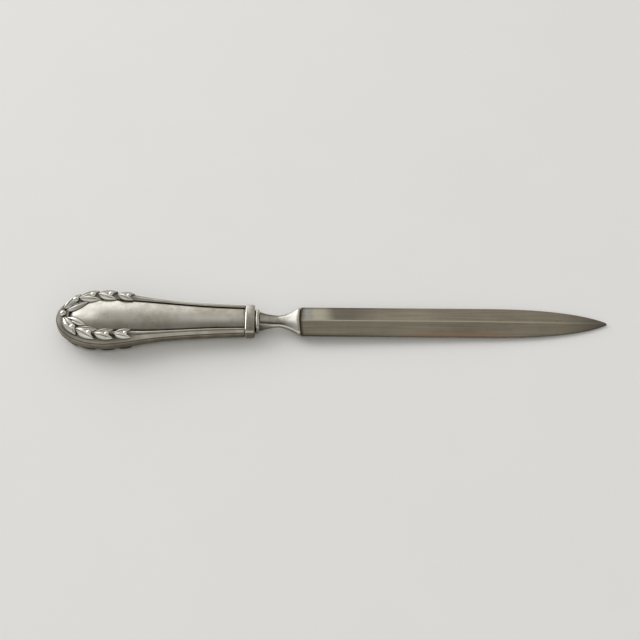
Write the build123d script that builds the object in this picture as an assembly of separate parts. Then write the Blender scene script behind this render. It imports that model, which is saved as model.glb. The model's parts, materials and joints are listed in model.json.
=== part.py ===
"""Letter opener: hollow silver handle, collar, ring and neck, and a steel blade set in it by its tang.

Millimetres. The pieces are built straight along X, from the butt at x = 0 to the tip, with the seam of the
handle at z = 0. The whole is then tipped so that it lies on its belly and on the tip.
"""

import os

from build123d import *
from math import asin, atan2, cos, degrees, hypot, pi, sin

# Handle in plan: half-oval butt, then flanks that draw in to the mouth
handle_length = 58.0
butt_length = 15.0
butt_half_width = 10.4
shoulder_x = 21.0
shoulder_half_width = 9.7
flank_x = 28.5
flank_half_width = 8.15
waist_x = 38.0
waist_half_width = 6.8
throat_x = 48.0
throat_half_width = 6.0
mouth_half_width = 5.45

# Width of the border: leaves round the butt, a plain thread towards the mouth
butt_border = 4.2
butt_end_border = 4.3
shoulder_border = 3.8
flank_border = 2.5
waist_border = 1.85
throat_border = 1.8
mouth_border = 1.6

# Heights above the seam: top of the panel, groove beside it, outer edge of the border
butt_crown = 4.0
shoulder_crown = 3.85
flank_crown = 3.5
waist_crown = 3.15
throat_crown = 2.85
mouth_crown = 2.65
butt_groove = 2.6
shoulder_groove = 2.5
flank_groove = 2.05
waist_groove = 1.75
throat_groove = 1.65
mouth_groove = 1.55
butt_edge = 1.3
shoulder_edge = 1.25
flank_edge = 1.1
waist_edge = 0.95
throat_edge = 0.95
mouth_edge = 1.0
border_rise = 0.4
sheet = 0.7

# Leaf border: its line is a share of the border's width in from the edge, and a set distance in at the butt
leaf_line = 0.62
leaf_line_butt = 2.5
butt_curve_points = 6
leaf_length = 7.6
leaf_radius = 1.3
leaf_end_radius = 0.12
leaf_pairs = 4
leaf_pitch = 6.0
leaf_start = 1.6
leaf_spread = 16.0
leaf_sink = 0.35
outer_leaf_drop = 0.35
last_leaf_scale = 0.7
berry_radius = 1.05
berry_lift = 0.1
berry_ahead = 4.9
centre_berry_radius = 1.2

# Collar and the plate that closes it
collar_length = 3.0
collar_half_width = 5.45
collar_edge = 1.6
collar_crown = 2.75
collar_wall = 1.1
collar_chamfer = 0.3
mouth_plate_thickness = 1.2

# Ring between the collar and the neck
ring_length = 1.6
ring_half_width = 3.65
ring_edge = 1.85
ring_crown = 2.3
ring_round = 0.6

# Neck: rounded flanks, and an arched face above and below between crisp edges
neck_length = 12.75
neck_waist_from_ring = 6.0
neck_lip = 0.8
neck_root_half_width = 3.4
neck_waist_half_width = 2.1
neck_heel_half_width = 5.0
neck_root_face = 2.05
neck_waist_face = 1.75
neck_heel_face = 4.7
neck_root_edge = 1.8
neck_waist_edge = 0.8
neck_heel_edge = 1.1
neck_root_crown = 2.15
neck_waist_crown = 1.2
neck_heel_crown = 2.05
neck_flare = 1.75
neck_rise = 1.2
neck_sections = 9

# Blade and tang
blade_length = 94.65
blade_half_width = 5.5
blade_edge = 0.25
blade_ridge = 0.85
tip_half_width = 0.15
tip_ridge = 0.3
point_length = 38.0
point_fullness = 2.5
point_bluntness = 0.75
point_steps = 9
heel_bow = 0.6
heel_cutter = 16.0
tang_length = 48.0
tang_width = 2.0
tang_thickness = 1.0
tang_point = 3.0
tang_clearance = 0.05

collar_front = handle_length + collar_length
ring_front = collar_front + ring_length
heel_x = ring_front + neck_length
tip_x = heel_x + blade_length


def across(x):
    """Plane across the opener at x, drawn in Y and Z."""
    return Plane(origin=(x, 0, 0), x_dir=(0, 1, 0), z_dir=(1, 0, 0))


def lens(x, half_width, edge, crown):
    """Oval face across X with upright sides and an arched top and underside."""
    sides = [Line((side * half_width, -edge), (side * half_width, edge)) for side in (-1, 1)]
    top = ThreePointArc((-half_width, edge), (0, crown), (half_width, edge))
    underside = ThreePointArc((-half_width, -edge), (0, -crown), (half_width, -edge))
    return across(x) * make_face([*sides, top, underside])


def arch_radius(half_span, rise):
    """Radius of the arc over a span."""
    return (half_span**2 + rise**2) / (2 * rise)


# Upper half of the handle, by stations from the butt's widest place to the mouth
handle_stations = (
    (butt_length, butt_half_width, butt_border, butt_crown, butt_groove, butt_edge),
    (shoulder_x, shoulder_half_width, shoulder_border, shoulder_crown, shoulder_groove, shoulder_edge),
    (flank_x, flank_half_width, flank_border, flank_crown, flank_groove, flank_edge),
    (waist_x, waist_half_width, waist_border, waist_crown, waist_groove, waist_edge),
    (throat_x, throat_half_width, throat_border, throat_crown, throat_groove, throat_edge),
    (handle_length, mouth_half_width, mouth_border, mouth_crown, mouth_groove, mouth_edge),
)


def outer_profile(half_width, border, crown, groove, edge):
    """Right half of the outside: panel top, groove, border crest, outer edge."""
    crest = (half_width - border / 2, groove + border_rise)
    return (0, crown), (half_width - border, groove), crest, (half_width, edge)


def inner_profile(half_width, border, crown, groove, edge):
    """Right half of the inside, one sheet thickness in."""
    top, dip, crest, _ = outer_profile(half_width, border, crown, groove, edge)
    under_sheet = [(y, z - sheet) for y, z in (top, dip, crest)]
    return *under_sheet, (half_width - sheet, edge - sheet)


def half_section(x, profile):
    """Closed face across X of the upper half, mirrored from its right half."""
    top, groove, crest, edge = profile
    left_groove, left_crest, left_edge = ((-y, z) for y, z in (groove, crest, edge))
    edges = [
        ThreePointArc(left_groove, top, groove),
        ThreePointArc(groove, crest, edge),
        Line(edge, (edge[0], 0)),
        Line((edge[0], 0), (-edge[0], 0)),
        Line((-edge[0], 0), left_edge),
        ThreePointArc(left_edge, left_crest, left_groove),
    ]
    return across(x) * make_face(edges)


def drawn_half_turn(outline, half_width, length):
    """Half turn of an outline, drawn out along X from its half width to its length."""
    half_turn = revolve(across(0) * make_face(outline), Axis.Z, 180)
    return Pos(butt_length, 0, 0) * scale(half_turn, (length / half_width, 1, 1))


def butt_dome(profile, length):
    """Half-oval end of the upper half: a panel in a border, each drawn out to its own length."""
    top, groove, crest, edge = profile
    radius = arch_radius(groove[0], top[1] - groove[1])
    half_way = asin(groove[0] / radius) / 2
    panel_middle = (radius * sin(half_way), top[1] - radius * (1 - cos(half_way)))
    panel = [
        ThreePointArc(top, panel_middle, groove),
        Line(groove, (groove[0], 0)),
        Line((groove[0], 0), (0, 0)),
        Line((0, 0), top),
    ]
    border = [
        ThreePointArc(groove, crest, edge),
        Line(edge, (edge[0], 0)),
        Line((edge[0], 0), (groove[0], 0)),
        Line((groove[0], 0), groove),
    ]
    panel_length = butt_length - butt_end_border
    return drawn_half_turn(panel, groove[0], panel_length) + drawn_half_turn(border, edge[0], length)


def handle_half(profile_of, wall):
    """Solid upper half with the given profile: drawn-out butt and lofted flanks."""
    flanks = loft([half_section(x, profile_of(*sizes)) for x, *sizes in handle_stations])
    return butt_dome(profile_of(*handle_stations[0][1:]), butt_length - wall) + flanks


def border_curve():
    """Line of the leaves along the border, from the butt's centre up the left side."""
    crest = butt_groove + border_rise
    line_length = butt_length - leaf_line_butt
    line_half_width = butt_half_width - leaf_line * butt_border
    places = []
    for step in range(butt_curve_points):
        turn = pi / 2 * step / butt_curve_points
        places.append((butt_length - line_length * cos(turn), line_half_width * sin(turn), crest))
    for x, half_width, border, _, groove, _ in handle_stations:
        places.append((x, half_width - leaf_line * border, groove + border_rise))
    return Edge.make_spline(places)


def leaf(size):
    """Leaf as a slim spindle with blunt ends that starts at the origin and lies along X."""
    length = leaf_length * size
    outline = [
        Line((0, 0), (0, leaf_end_radius)),
        ThreePointArc((0, leaf_end_radius), (length / 2, leaf_radius * size), (length, leaf_end_radius)),
        Line((length, leaf_end_radius), (length, 0)),
        Line((length, 0), (0, 0)),
    ]
    return revolve(make_face(outline), Axis.X)


def leaf_spray():
    """Leaves in pairs and a berry before each pair, along the left border from the butt's centre."""
    curve = border_curve()
    forms = [Pos(curve.position_at(0)) * Sphere(centre_berry_radius)]
    for pair in range(leaf_pairs):
        size = 1 - (1 - last_leaf_scale) * pair / (leaf_pairs - 1)
        run = leaf_start + pair * leaf_pitch
        base = curve.position_at(run, position_mode=PositionMode.LENGTH)
        along = curve.tangent_at(run + leaf_length * size / 2, position_mode=PositionMode.LENGTH)
        heading = degrees(atan2(along.Y, along.X))
        for side, drop in ((1, leaf_sink + outer_leaf_drop), (-1, leaf_sink)):
            turned = Rot(0, 0, heading + side * leaf_spread) * leaf(size)
            forms.append(Pos(base.X, base.Y, base.Z - drop) * turned)
        berry = curve.position_at(run + berry_ahead * size, position_mode=PositionMode.LENGTH)
        forms.append(Pos(berry.X, berry.Y, berry.Z + berry_lift * size) * Sphere(berry_radius * size))
    return forms


left_spray = leaf_spray()
right_spray = [mirror(form, Plane.XZ) for form in left_spray[1:]]
cavity = handle_half(inner_profile, sheet)
upper_handle_shell = handle_half(outer_profile, 0).fuse(*left_spray, *right_spray) - cavity
lower_handle_shell = mirror(upper_handle_shell, Plane.XY)


def point_half_width(share):
    """Half width along the point, from 0 at the shoulder to 1 at the tip."""
    return max(blade_half_width * (1 - share**point_fullness) ** point_bluntness, tip_half_width)


def point_edge(side, up):
    """Curve along the upper or lower corner of one thin edge, from the shoulder to the tip."""
    places = []
    for step in range(point_steps + 1):
        share = sin(pi / 2 * step / point_steps)
        places.append((point_x + share * point_length, side * point_half_width(share), up * blade_edge))
    return Edge.make_spline(places)


def point_ridge(up):
    """Line along the upper or lower ridge, from the shoulder to the tip."""
    return Edge.make_line((point_x, 0, up * blade_ridge), (tip_x, 0, up * tip_ridge))


def blade_section(x, half_width, ridge):
    """Six-sided face across X: two ridges and two thin edges."""
    corners = [(half_width, -blade_edge), (half_width, blade_edge), (0, ridge)]
    corners += [(-half_width, blade_edge), (-half_width, -blade_edge), (0, -ridge)]
    return across(x) * make_face(Polyline(*corners, close=True))


# Blade: parallel to the shoulder, then four ground facets to the point
point_x = tip_x - point_length
ground = []
for side in (-1, 1):
    low, high = point_edge(side, -1), point_edge(side, 1)
    ground.append(Face.make_surface_from_curves(point_ridge(-1), low))
    ground.append(Face.make_surface_from_curves(low, high))
    ground.append(Face.make_surface_from_curves(high, point_ridge(1)))
shoulder = blade_section(point_x, blade_half_width, blade_ridge)
tip = blade_section(tip_x, tip_half_width, tip_ridge)
point = Solid(Shell([*ground, shoulder.face(), tip.face()]))
parallel = loft([blade_section(heel_x - heel_bow, blade_half_width, blade_ridge), shoulder])

# The heel bows towards the neck, which is hollowed to meet it
heel_radius = arch_radius(blade_half_width, heel_bow)
heel_disc = Pos(heel_x - heel_bow + heel_radius, 0, 0) * Cylinder(heel_radius, heel_cutter)
heel_waste = Pos(heel_x, 0, 0) * Box(2 * heel_bow, heel_cutter, heel_cutter) - heel_disc

# Tang, with a pointed end in the handle
tang_back = heel_x - tang_length
tang_outline = Polyline(
    (heel_x, tang_width / 2),
    (tang_back + tang_point, tang_width / 2),
    (tang_back, 0),
    (tang_back + tang_point, -tang_width / 2),
    (heel_x, -tang_width / 2),
    close=True,
)
tang = extrude(make_face(tang_outline), tang_thickness / 2, both=True)
blade = parallel + point - heel_waste + tang

# Slot for the tang in the pieces that it passes through
slot_width = tang_width + 2 * tang_clearance
slot_thickness = tang_thickness + 2 * tang_clearance
slot_length = heel_x - handle_length
tang_slot = Pos(handle_length + slot_length / 2, 0, 0) * Box(slot_length, slot_width, slot_thickness)

# Collar: oval band with a chamfered front
collar_body = extrude(lens(handle_length, collar_half_width, collar_edge, collar_crown), collar_length)
collar_rim = collar_body.faces().sort_by(Axis.X)[-1].edges()
bore_sizes = (collar_half_width - collar_wall, collar_edge - collar_wall, collar_crown - collar_wall)
collar_bore = extrude(lens(handle_length, *bore_sizes), collar_length)
collar = chamfer(collar_rim, collar_chamfer) - collar_bore

# Plate that closes the front of the collar's bore
mouth_plate_back = collar_front - mouth_plate_thickness
mouth_plate = extrude(lens(mouth_plate_back, *bore_sizes), mouth_plate_thickness) - tang_slot

# Ring with rounded rims
ring_body = extrude(lens(collar_front, ring_half_width, ring_edge, ring_crown), ring_length)
ring_rims = ring_body.faces().filter_by(Axis.X).edges()
neck_ring = fillet(ring_rims, ring_round) - tang_slot


def drawn_in(along, root, waist, heel, flare):
    """Size of the neck, drawn in from the root to the waist and flared out to the lip at the heel."""
    if along < neck_waist_from_ring:
        share = 1 - along / neck_waist_from_ring
        return waist + (root - waist) * share**neck_flare
    share = (along - neck_waist_from_ring) / (neck_length - neck_lip - neck_waist_from_ring)
    return waist + (heel - waist) * share**flare


def neck_section(x, half_width, face, edge, crown):
    """Face across X with an arched top and underside and rounded flanks between their edges."""
    arcs = [
        ThreePointArc((-face, edge), (0, crown), (face, edge)),
        ThreePointArc((face, edge), (half_width, 0), (face, -edge)),
        ThreePointArc((face, -edge), (0, -crown), (-face, -edge)),
        ThreePointArc((-face, -edge), (-half_width, 0), (-face, edge)),
    ]
    return across(x) * make_face(arcs)


# Neck: lofted to the lip, which is as thick all along
neck_widths = (neck_root_half_width, neck_waist_half_width, neck_heel_half_width, neck_flare)
neck_face_widths = (neck_root_face, neck_waist_face, neck_heel_face, neck_flare)
neck_edges = (neck_root_edge, neck_waist_edge, neck_heel_edge, neck_flare)
neck_crowns = (neck_root_crown, neck_waist_crown, neck_heel_crown, neck_rise)
neck_faces = []
for step in range(neck_sections):
    along = (neck_length - neck_lip) * step / (neck_sections - 1)
    sizes = [drawn_in(along, *line) for line in (neck_widths, neck_face_widths, neck_edges, neck_crowns)]
    neck_faces.append(neck_section(ring_front + along, *sizes))
lip = extrude(neck_faces[-1], neck_lip)
neck = loft(neck_faces) + lip - heel_disc - tang_slot

# Cement that fills the handle and the back of the collar round the tang
collar_fill = extrude(lens(handle_length, *bore_sizes), collar_length - mouth_plate_thickness)
pitch_core = cavity + mirror(cavity, Plane.XY) + collar_fill - tang

# The opener lies on the round of its belly and on the tip
belly_radius = arch_radius(butt_half_width - butt_border, butt_crown - butt_groove)
tip_ahead = tip_x - butt_length
belly_centre_above_tip = belly_radius - butt_crown + tip_ridge
reach = hypot(tip_ahead, belly_centre_above_tip)
lean = asin(belly_radius / reach) - atan2(belly_centre_above_tip, tip_ahead)

pieces = {
    "upper_handle_shell": upper_handle_shell,
    "lower_handle_shell": lower_handle_shell,
    "collar": collar,
    "mouth_plate": mouth_plate,
    "neck_ring": neck_ring,
    "neck": neck,
    "blade": blade,
    "pitch_core": pitch_core,
}
leaning = {name: Rot(0, degrees(lean), 0) * piece for name, piece in pieces.items()}
box = Compound(list(leaning.values())).bounding_box()
os.makedirs("parts", exist_ok=True)
for name, piece in leaning.items():
    export_step(Pos(-box.center().X, 0, -box.min.Z) * piece, f"parts/{name}.step")
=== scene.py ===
import json
import math

import bmesh
import bpy
import numpy as np
from mathutils import Matrix, Quaternion, Vector

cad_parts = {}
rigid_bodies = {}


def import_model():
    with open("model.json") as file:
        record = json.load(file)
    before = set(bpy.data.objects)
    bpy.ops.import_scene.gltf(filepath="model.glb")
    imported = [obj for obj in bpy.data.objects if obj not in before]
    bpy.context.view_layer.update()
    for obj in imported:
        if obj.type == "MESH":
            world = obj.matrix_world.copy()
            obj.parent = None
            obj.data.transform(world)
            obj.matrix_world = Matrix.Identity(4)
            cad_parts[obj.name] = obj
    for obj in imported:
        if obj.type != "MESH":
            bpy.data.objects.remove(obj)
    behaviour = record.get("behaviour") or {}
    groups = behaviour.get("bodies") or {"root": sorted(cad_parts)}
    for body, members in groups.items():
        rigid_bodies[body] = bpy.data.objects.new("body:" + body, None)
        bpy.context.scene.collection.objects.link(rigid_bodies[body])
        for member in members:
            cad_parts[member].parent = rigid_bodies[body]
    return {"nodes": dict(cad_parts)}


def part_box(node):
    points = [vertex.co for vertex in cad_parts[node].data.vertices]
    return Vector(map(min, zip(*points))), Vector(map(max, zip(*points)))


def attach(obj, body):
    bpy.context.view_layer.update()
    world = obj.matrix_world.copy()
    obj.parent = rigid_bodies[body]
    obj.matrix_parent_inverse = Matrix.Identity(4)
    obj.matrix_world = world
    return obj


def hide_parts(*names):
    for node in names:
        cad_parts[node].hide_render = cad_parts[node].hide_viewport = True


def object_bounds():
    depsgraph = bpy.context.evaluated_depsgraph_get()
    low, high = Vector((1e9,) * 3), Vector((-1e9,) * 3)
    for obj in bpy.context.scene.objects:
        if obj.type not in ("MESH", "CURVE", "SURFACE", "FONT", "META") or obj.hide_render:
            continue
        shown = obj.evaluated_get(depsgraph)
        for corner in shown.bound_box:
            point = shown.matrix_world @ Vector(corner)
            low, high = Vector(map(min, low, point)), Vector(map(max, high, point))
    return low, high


for leftover in list(bpy.data.objects):
    bpy.data.objects.remove(leftover)
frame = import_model()
cad_low, cad_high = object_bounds()
mm = 0.001

# Blade
# A straight strip of steel, ground to two facets on each face with a ridge between them and a long point.
# Its narrow tang runs back through the neck and the collar into the cement of the handle.
heel_x = 75.35 * mm
tip_x = 170.0 * mm
point_x = 132.0 * mm
blade_half_width = 5.5 * mm
blade_edge = 0.25 * mm
blade_ridge = 0.85 * mm
tip_half_width = 0.15 * mm
tip_ridge = 0.3 * mm
point_fullness = 2.5
point_bluntness = 0.75
heel_bow = 0.6 * mm
heel_round = 0.2 * mm
edge_round = 0.12 * mm
ridge_round = 0.1 * mm
# Under this half width the rounding of the edges and the ridge gets finer
fine_width = 1.2 * mm
# Points across a facet, in roundings from the edge and from the ridge, and the steps between them
edge_steps = (0, 0.3, 0.65, 1, 2.2)
ridge_steps = (5, 3, 2, 1, 0)
facet_steps = 5
heel_turns = 4
straight_steps = 100
straight_spacing = 1.5
point_steps = 60
# Width of the ridge's highlight, part worn and part painted
ridge_wear_and_highlight_width = 0.2 * mm
# Painted shade on the thin edges, more of it towards the heel, and the painted shadow line at the heel,
# which fades in steps
edge_shade_width = 0.36 * mm
edge_painted_shade = 0.5
heel_painted_shade = 0.5
heel_shade_reach = 0.65
heel_dark = 1.6
heel_dark_steps = 4
tang_back = 27.35 * mm
tang_point = 3.0 * mm
tang_tip_share = 0.05
tang_half_width = 1.0 * mm
tang_half_thickness = 0.5 * mm
merge_distance = 0.001 * mm
sharp_angle = math.radians(38)
grain_detail = 4.0
speck_detail = 2.0
grain_roughness = 0.6
steel_grey = (0.226, 0.2, 0.153, 1)
steel_clean = (0.325, 0.291, 0.226, 1)
# Bright steel, for the bright stains and specks and the ridge's highlight, part worn and part painted
steel_bright = (0.5, 0.462, 0.37, 1)
# Bluish tint, painted as a reflection on the far facet near the heel
steel_blue = (0.355, 0.352, 0.33, 1)
# Reddish tint, painted as a warm reflection on the near edge
steel_warm_reflection = (0.36, 0.225, 0.15, 1)
# Dark steel, for the dark stains and for painted shade at the tip
steel_dark = (0.12, 0.106, 0.086, 1)
# Colour of the stained specks, also painted as shade on the edges and at the heel
steel_stain_and_shade = (0.06, 0.044, 0.032, 1)

# The opener is drawn straight along X, then tipped to lie on the round of its belly and on its tip
lean = math.radians(1.3690)
slide = cad_high.x - tip_x * math.cos(lean) - tip_ridge * math.sin(lean)
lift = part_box("blade")[0].z + tip_x * math.sin(lean) + tip_ridge * math.cos(lean)
lay_down = Matrix.Translation((slide, 0, lift)) @ Matrix.Rotation(lean, 4, "Y")


def skin(rings, faces_from=0):
    """Points and faces over rings with the same number of points, closed at both ends."""
    count = len(rings[0])
    points = [point for ring in rings for point in ring]
    faces = []
    for first in range(faces_from, faces_from + len(points) - count, count):
        for k in range(count):
            after = (k + 1) % count
            faces.append((first + k, first + after, first + count + after, first + count + k))
    faces.append(tuple(range(faces_from, faces_from + count)))
    faces.append(tuple(range(faces_from + len(points) - count, faces_from + len(points))))
    return points, faces


def piece(name, points, faces, marks=None):
    """Mesh object of a closed piece, laid down and riding on the one body. Marks are values at its
    points."""
    mesh = bpy.data.meshes.new(name)
    mesh.from_pydata([lay_down @ Vector(point) for point in points], [], faces)
    for mark, values in (marks or {}).items():
        mesh.attributes.new(mark, "FLOAT", "POINT").data.foreach_set("value", values)
    shaped = bmesh.new()
    shaped.from_mesh(mesh)
    bmesh.ops.remove_doubles(shaped, verts=shaped.verts, dist=merge_distance)
    bmesh.ops.recalc_face_normals(shaped, faces=shaped.faces)
    shaped.to_mesh(mesh)
    shaped.free()
    mesh.polygons.foreach_set("use_smooth", [True] * len(mesh.polygons))
    mesh.set_sharp_from_angle(angle=sharp_angle)
    made = bpy.data.objects.new(name, mesh)
    bpy.context.scene.collection.objects.link(made)
    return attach(made, "root")


def heel_line(y):
    """Place of the heel along X at a distance from the middle: a shallow arc towards the neck."""
    radius = (blade_half_width**2 + heel_bow**2) / (2 * heel_bow)
    return heel_x - heel_bow + radius - math.sqrt(radius**2 - y**2)


def blade_section(half_width, ridge, darkness=edge_painted_shade):
    """Round the blade in Y and Z, with the ridge's highlight, part worn and part painted, and the painted
    shade on the thin edges at each point. The third argument is how dark and wide that painted shade is."""
    fine = min(1, half_width / fine_width)
    from_edge = [step * edge_round * fine for step in edge_steps]
    from_ridge = [step * ridge_round * fine for step in ridge_steps]
    start, stop = half_width - from_edge[-1], from_ridge[0]
    across = [half_width - step for step in from_edge]
    across += [start + (stop - start) * step / facet_steps for step in range(1, facet_steps)]
    across += from_ridge
    upper = []
    wear = []
    film = []
    for y in across:
        to_edge = half_width - y
        softened = math.sqrt(y**2 + (ridge_round * fine) ** 2)
        z = blade_edge + (ridge - blade_edge) * (1 - softened / half_width)
        corner = max(0, 1 - to_edge / (edge_round * fine))
        z -= edge_round * fine * (1 - math.sqrt(1 - corner**2))
        upper.append((y, z))
        wear.append(math.exp(-((y / ridge_wear_and_highlight_width) ** 2)))
        film.append(darkness * math.exp(-((to_edge / (darkness * edge_shade_width)) ** 2)))
    upper += [(-y, z) for y, z in reversed(upper[:-1])]
    wear += reversed(wear[:-1])
    film += reversed(film[:-1])
    return upper + [(y, -z) for y, z in reversed(upper)], wear + wear[::-1], film + film[::-1]


blade_rings = []
blade_wear_and_highlight = []
blade_painted_shade = []
# The rounded heel is painted dark all over as shade
for turn in range(heel_turns + 1):
    angle = math.pi / 2 * turn / heel_turns
    inset = heel_round * (1 - math.sin(angle))
    forward = heel_round * (1 - math.cos(angle))
    section, wear, film = blade_section(blade_half_width - inset, blade_ridge - inset)
    blade_rings.append([(heel_line(y) + forward, y, z) for y, z in section])
    blade_wear_and_highlight += [0.0] * len(wear)
    blade_painted_shade += [1.0] * len(film)
# Along the blade the painted shade on the edges widens towards the heel, and the neck's step is painted as
# a shadow over the first rings
for step in range(1, straight_steps + 1):
    share = (step / straight_steps) ** straight_spacing
    darkness = edge_painted_shade + heel_painted_shade * max(0, 1 - share / heel_shade_reach)
    section, wear, film = blade_section(blade_half_width, blade_ridge, darkness)
    ring = []
    for y, z in section:
        start = heel_line(y) + heel_round
        ring.append((start + share * (point_x - start), y, z))
    blade_rings.append(ring)
    blade_wear_and_highlight += wear
    darkened = min(1, heel_dark - step / heel_dark_steps)
    blade_painted_shade += [max(value, darkened) for value in film]
# On the point the ridge's highlight, part worn and part painted, fades out towards the tip
for step in range(1, point_steps + 1):
    share = math.sin(math.pi / 2 * step / point_steps)
    half_width = max(blade_half_width * (1 - share**point_fullness) ** point_bluntness, tip_half_width)
    section, wear, film = blade_section(half_width, blade_ridge + (tip_ridge - blade_ridge) * share)
    blade_rings.append([(point_x + share * (tip_x - point_x), y, z) for y, z in section])
    blade_wear_and_highlight += [value * (1 - share**2) for value in wear]
    blade_painted_shade += film
blade_points, blade_faces = skin(blade_rings)

tang_rings = []
for x, share in ((heel_x, 1), (tang_back + tang_point, 1), (tang_back, tang_tip_share)):
    y, z = tang_half_width * share, tang_half_thickness
    tang_rings.append([(x, y, z), (x, -y, z), (x, -y, -z), (x, y, -z)])
tang_points, tang_faces = skin(tang_rings, len(blade_points))
blade_wear_and_highlight += [0.0] * len(tang_points)
blade_painted_shade += [1.0] * len(tang_points)
blade = piece("ground_blade", blade_points + tang_points, blade_faces + tang_faces,
              {"wear": blade_wear_and_highlight, "film": blade_painted_shade})


def add(tree, kind, inputs=None, **settings):
    """New node with its settings, whose inputs are set to values or linked to outputs."""
    made = tree.nodes.new(kind)
    for setting, value in settings.items():
        setattr(made, setting, value)
    for name, value in (inputs or {}).items():
        if isinstance(value, bpy.types.NodeSocket):
            tree.links.new(value, made.inputs[name])
        else:
            made.inputs[name].default_value = value
    return made


def mixed(tree, factor, first, second):
    """Colour between two colours."""
    return add(tree, "ShaderNodeMix", {0: factor, 6: first, 7: second}, data_type="RGBA").outputs[2]


def reckoned(tree, operation, first, second=0.5, third=0.5):
    """Result of one sum on numbers."""
    return add(tree, "ShaderNodeMath", {0: first, 1: second, 2: third}, operation=operation).outputs[0]


def between(tree, value, low, high, to_low=0.0, to_high=1.0):
    """Value spread smoothly from one range to another."""
    return add(tree, "ShaderNodeMapRange", {0: value, 1: low, 2: high, 3: to_low, 4: to_high},
               interpolation_type="SMOOTHSTEP").outputs[0]


def grain(tree, place, scale, stretch=(1, 1, 1), turn=0.0, detail=grain_detail):
    """Noise in the metal, in lumps per metre, drawn out by stretch and turned about Z."""
    laid = add(tree, "ShaderNodeMapping", {"Vector": place, "Rotation": (0, 0, turn), "Scale": stretch})
    lumps = add(tree, "ShaderNodeTexNoise", {"Vector": laid.outputs[0], "Scale": scale, "Detail": detail,
                                             "Roughness": grain_roughness})
    return lumps.outputs[0]


def carried(tree, name):
    """Value that a piece carries at its points: worn spots and painted highlight, tarnish and painted
    shade, or the black of recesses and painted shade.
    """
    return add(tree, "ShaderNodeAttribute", attribute_name=name).outputs["Fac"]


def new_finish(name):
    """Empty material with its tree and main shader."""
    finish = bpy.data.materials.new(name)
    finish.use_nodes = True
    return finish, finish.node_tree, finish.node_tree.nodes["Principled BSDF"]


# The steel's streaks, clouds and specks, in lumps per metre, and the ranges of the noise that show
streak_scale = 1500
streak_stretch = (0.02, 1, 1)
streak_range = (0.35, 0.65)
streak_share = 0.5
cloud_scale = 60
cloud_range = (0.35, 0.7, 0.0, 0.5)
speck_scale = 1400
stained_specks = (0.66, 0.76, 0.0, 0.55)
bright_specks = (0.29, 0.22)
# Dark and bright stains and a painted bluish reflection on the far facet: how strong each is, and where
# from the heel it starts, is full, fades and stops
facet_line = 0.4 * mm
stain_start = 1.5 * mm
stain_waver = 3 * mm
stain_waver_scale = 220
dark_stain = (0.6, 7 * mm, 11 * mm, 14 * mm, 27 * mm)
bright_stain = (0.7, 2.5 * mm, 3.8 * mm, 5.5 * mm, 11 * mm)
blue_reflection = (0.8, 0.4 * mm, 1.6 * mm, 2.4 * mm, 4.2 * mm)
# A painted warm reflection along the near edge, from the heel and across, and painted shade darkening the
# tip, with their strengths
warm_reflection_begins = (27 * mm, 38 * mm)
warm_reflection_ends = (75 * mm, 52 * mm)
warm_reflection_across = (-3.5 * mm, -5.3 * mm, 0.0, 0.85)
tip_dark_reflection = (15 * mm, 1 * mm, 0.0, 0.85)
# How dark the painted shade on the edges and at the heel is
edge_shade_strength = 0.95
steel_rough = 0.24
streak_rough = 0.14
scratch_depth = 0.02 * mm
scratch_strength = 0.35

ground_steel, tree, metal = new_finish("ground_steel")
place = add(tree, "ShaderNodeTexCoord").outputs["Object"]
clouds = grain(tree, place, cloud_scale)
streaks = grain(tree, place, streak_scale, streak_stretch)
specks = grain(tree, place, speck_scale, detail=speck_detail)
clean = reckoned(tree, "MULTIPLY_ADD", between(tree, streaks, *streak_range), streak_share,
                 between(tree, clouds, *cloud_range))
colour = mixed(tree, clean, steel_grey, steel_clean)
along, across, _ = add(tree, "ShaderNodeSeparateXYZ", {0: place}).outputs
far_facet = between(tree, across, 0.0, facet_line)
from_heel = reckoned(tree, "MULTIPLY_ADD", grain(tree, place, stain_waver_scale), stain_waver,
                     reckoned(tree, "SUBTRACT", along, slide + heel_x + stain_start))
# The dark and bright patches are stains; the blue one is a painted reflection
for tint, stain_and_reflection in ((steel_dark, dark_stain), (steel_bright, bright_stain), (steel_blue, blue_reflection)):
    strength, start, full, fading, stop = stain_and_reflection
    begun = reckoned(tree, "MULTIPLY", far_facet, between(tree, from_heel, start, full, 0.0, strength))
    patch = reckoned(tree, "MULTIPLY", begun, between(tree, from_heel, stop, fading))
    colour = mixed(tree, patch, colour, tint)
# Painted warm reflection along the near edge
warm_reflection_along = reckoned(tree, "MULTIPLY", between(tree, from_heel, *warm_reflection_begins),
                  between(tree, from_heel, *warm_reflection_ends))
warm_reflection = reckoned(tree, "MULTIPLY", between(tree, across, *warm_reflection_across), warm_reflection_along)
colour = mixed(tree, warm_reflection, colour, steel_warm_reflection)
# Painted shade darkening the tip
to_tip = reckoned(tree, "SUBTRACT", slide + tip_x, along)
colour = mixed(tree, between(tree, to_tip, *tip_dark_reflection), colour, steel_dark)
colour = mixed(tree, between(tree, specks, *stained_specks), colour, steel_stain_and_shade)
colour = mixed(tree, between(tree, specks, *bright_specks), colour, steel_bright)
# The ridge's highlight, part worn and part painted, then painted shade on the edges and at the heel
colour = mixed(tree, carried(tree, "wear"), colour, steel_bright)
colour = mixed(tree, reckoned(tree, "MULTIPLY", carried(tree, "film"), edge_shade_strength), colour, steel_stain_and_shade)
tree.links.new(colour, metal.inputs["Base Color"])
metal.inputs["Metallic"].default_value = 1
rough = reckoned(tree, "MULTIPLY_ADD", streaks, streak_rough, steel_rough)
tree.links.new(rough, metal.inputs["Roughness"])
bump = add(tree, "ShaderNodeBump",
           {"Strength": scratch_strength, "Distance": scratch_depth, "Height": streaks})
tree.links.new(bump.outputs[0], metal.inputs["Normal"])
blade.data.materials.append(ground_steel)
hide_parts("blade")

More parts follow.
